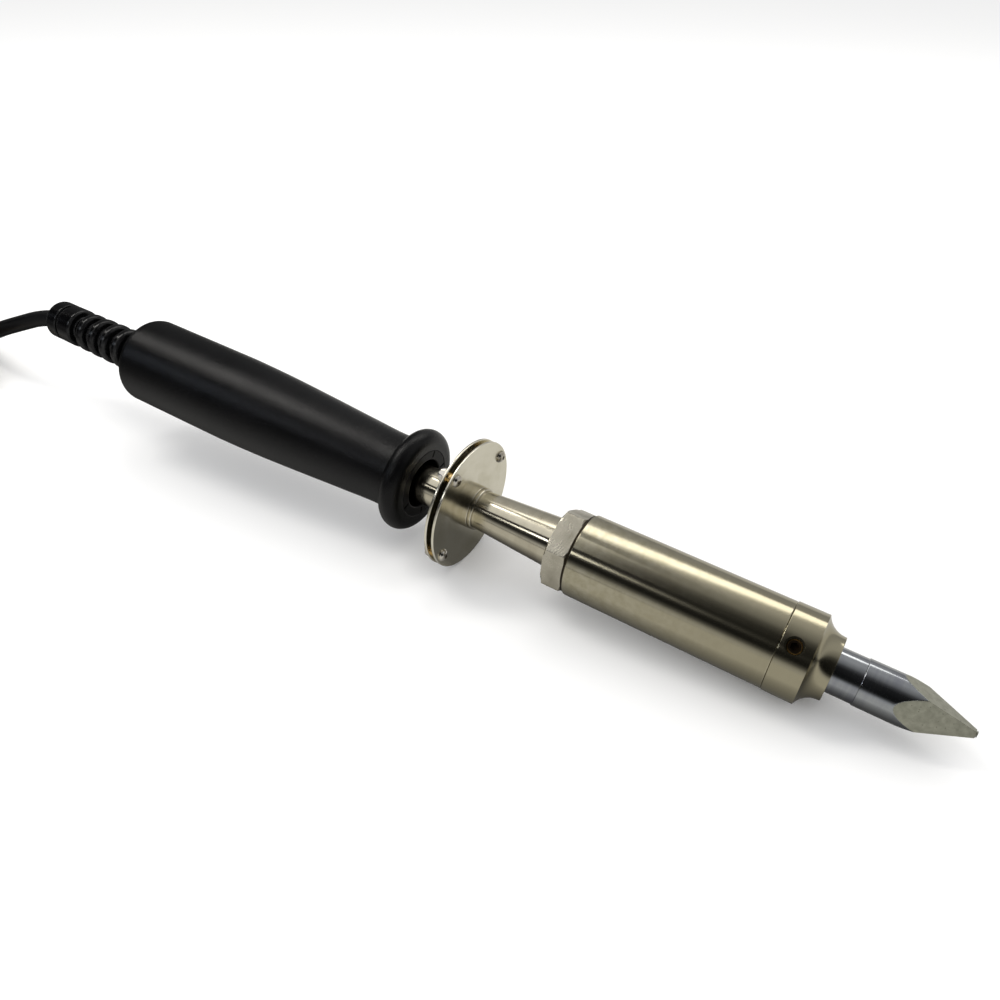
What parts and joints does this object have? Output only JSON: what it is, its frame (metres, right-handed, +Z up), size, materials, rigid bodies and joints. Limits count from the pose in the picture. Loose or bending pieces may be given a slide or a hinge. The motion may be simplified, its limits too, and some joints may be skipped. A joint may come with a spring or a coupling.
{
  "type": "soldering iron",
  "caption": "Heavy plug-tip soldering iron with a black flanged handle, double heat baffle, hex nut, barrel heater and pyramid tip, its mains cord put away in a tied hank.",
  "frame": {"origin": "on the surface that the iron rests on, under the middle of the iron's length (strain relief to tip), measured without the free cord, hank and plug", "axes": "+X level, towards the tip end; +Z up; the iron's own axis lies in the XZ plane and dips 4.24 degrees below +X, because the iron rests on its baffle rim and nose-cap shoulder"},
  "size_m": [0.7174, 0.0706, 0.0558],
  "materials": {
    "handle_plastic": "satin moulded black with a fine grain",
    "bushing_plastic": "moulded black, slightly duller than the handle",
    "phenolic": "brown laminated phenolic",
    "relief_rubber": "glossy black moulded rubber",
    "cord_rubber": "satin black rubber",
    "satin_nickel": "satin nickel plate, turned",
    "polished_nickel": "bright nickel plate",
    "milled_nickel": "matte plated, rough milled",
    "screw_steel": "bright nickel plate",
    "spacer_brass": "turned brass",
    "tip_plate": "steel-grey plated copper, tinned at the point",
    "tinted_steel": "heat-tinted steel",
    "washer_black": "black fibre",
    "core_steel": "plain turned steel",
    "mica": "rolled mica paper",
    "nichrome": "oxidised resistance ribbon",
    "ceramic": "unglazed ceramic",
    "terminal_brass": "bright brass",
    "lead_wire": "nickel wire",
    "core_insulation": "insulated flexible conductors",
    "ground_green": "green insulated wire",
    "plug_rubber": "satin black moulded rubber",
    "plug_brass": "nickel-flashed brass",
    "tie_nylon": "woven hook-and-loop strap"
  },
  "bodies": {
    "iron": {"handle_shell": "handle_plastic", "front_bushing": "bushing_plastic", "stem_bushing_front": "phenolic", "stem_bushing_rear": "phenolic", "handle_screw": "screw_steel", "stem_tube": "satin_nickel", "baffle_front_disc": "polished_nickel", "baffle_rear_disc": "polished_nickel", "baffle_spacers": "spacer_brass", "baffle_screws": "screw_steel", "baffle_nuts": "screw_steel", "front_collar": "polished_nickel", "rear_collar": "polished_nickel", "barrel_casing": "satin_nickel", "nose_cap": "polished_nickel", "heater_core": "core_steel", "inner_mica_sleeve": "mica", "outer_mica_sleeve": "mica", "heater_winding": "nichrome", "rear_insulator": "ceramic", "element_leads": "lead_wire", "lead_sleeves": "ceramic", "ground_lead": "ground_green", "terminal_block": "ceramic", "terminal_barrels": "terminal_brass", "terminal_screws": "terminal_brass", "cord_cores": "core_insulation", "cord_jacket_end": "cord_rubber", "cord_clamp": "bushing_plastic", "strain_relief": "relief_rubber", "power_cord": "cord_rubber", "cord_hank": "cord_rubber", "cord_tie": "tie_nylon", "plug_body": "plug_rubber", "plug_blades": "plug_brass", "plug_ground_pin": "plug_brass"},
    "tip": {"soldering_tip": "tip_plate"},
    "set_screw": {"set_screw": "tinted_steel"},
    "nut_washer": {"nut_washer": "washer_black"},
    "hex_nut": {"hex_nut": "milled_nickel"}
  },
  "joints": [
    {"name": "tip_slide", "type": "slide", "parent": "iron", "child": "tip", "axis": [0.9973, 0, -0.0739], "range_m": [0, 0.058]},
    {"name": "set_screw_turn", "type": "hinge", "parent": "iron", "child": "set_screw", "pos_m": [0.14948, 0, 0.01586], "axis": [0.0566, -0.6428, 0.7639], "range_deg": [0, 1080]},
    {"name": "nut_back_off", "type": "slide", "parent": "iron", "child": "nut_washer", "axis": [0.9973, 0, -0.0739], "range_m": [-0.0061, 0]},
    {"name": "nut_turn", "type": "hinge", "parent": "nut_washer", "child": "hex_nut", "pos_m": [0.0684, 0, 0.02187], "axis": [0.9973, 0, -0.0739], "range_deg": [-1440, 0]}
  ],
  "couplings": [
    {"joint": "nut_back_off", "follows": "nut_turn", "m_per_rad": 0.00023873}
  ]
}
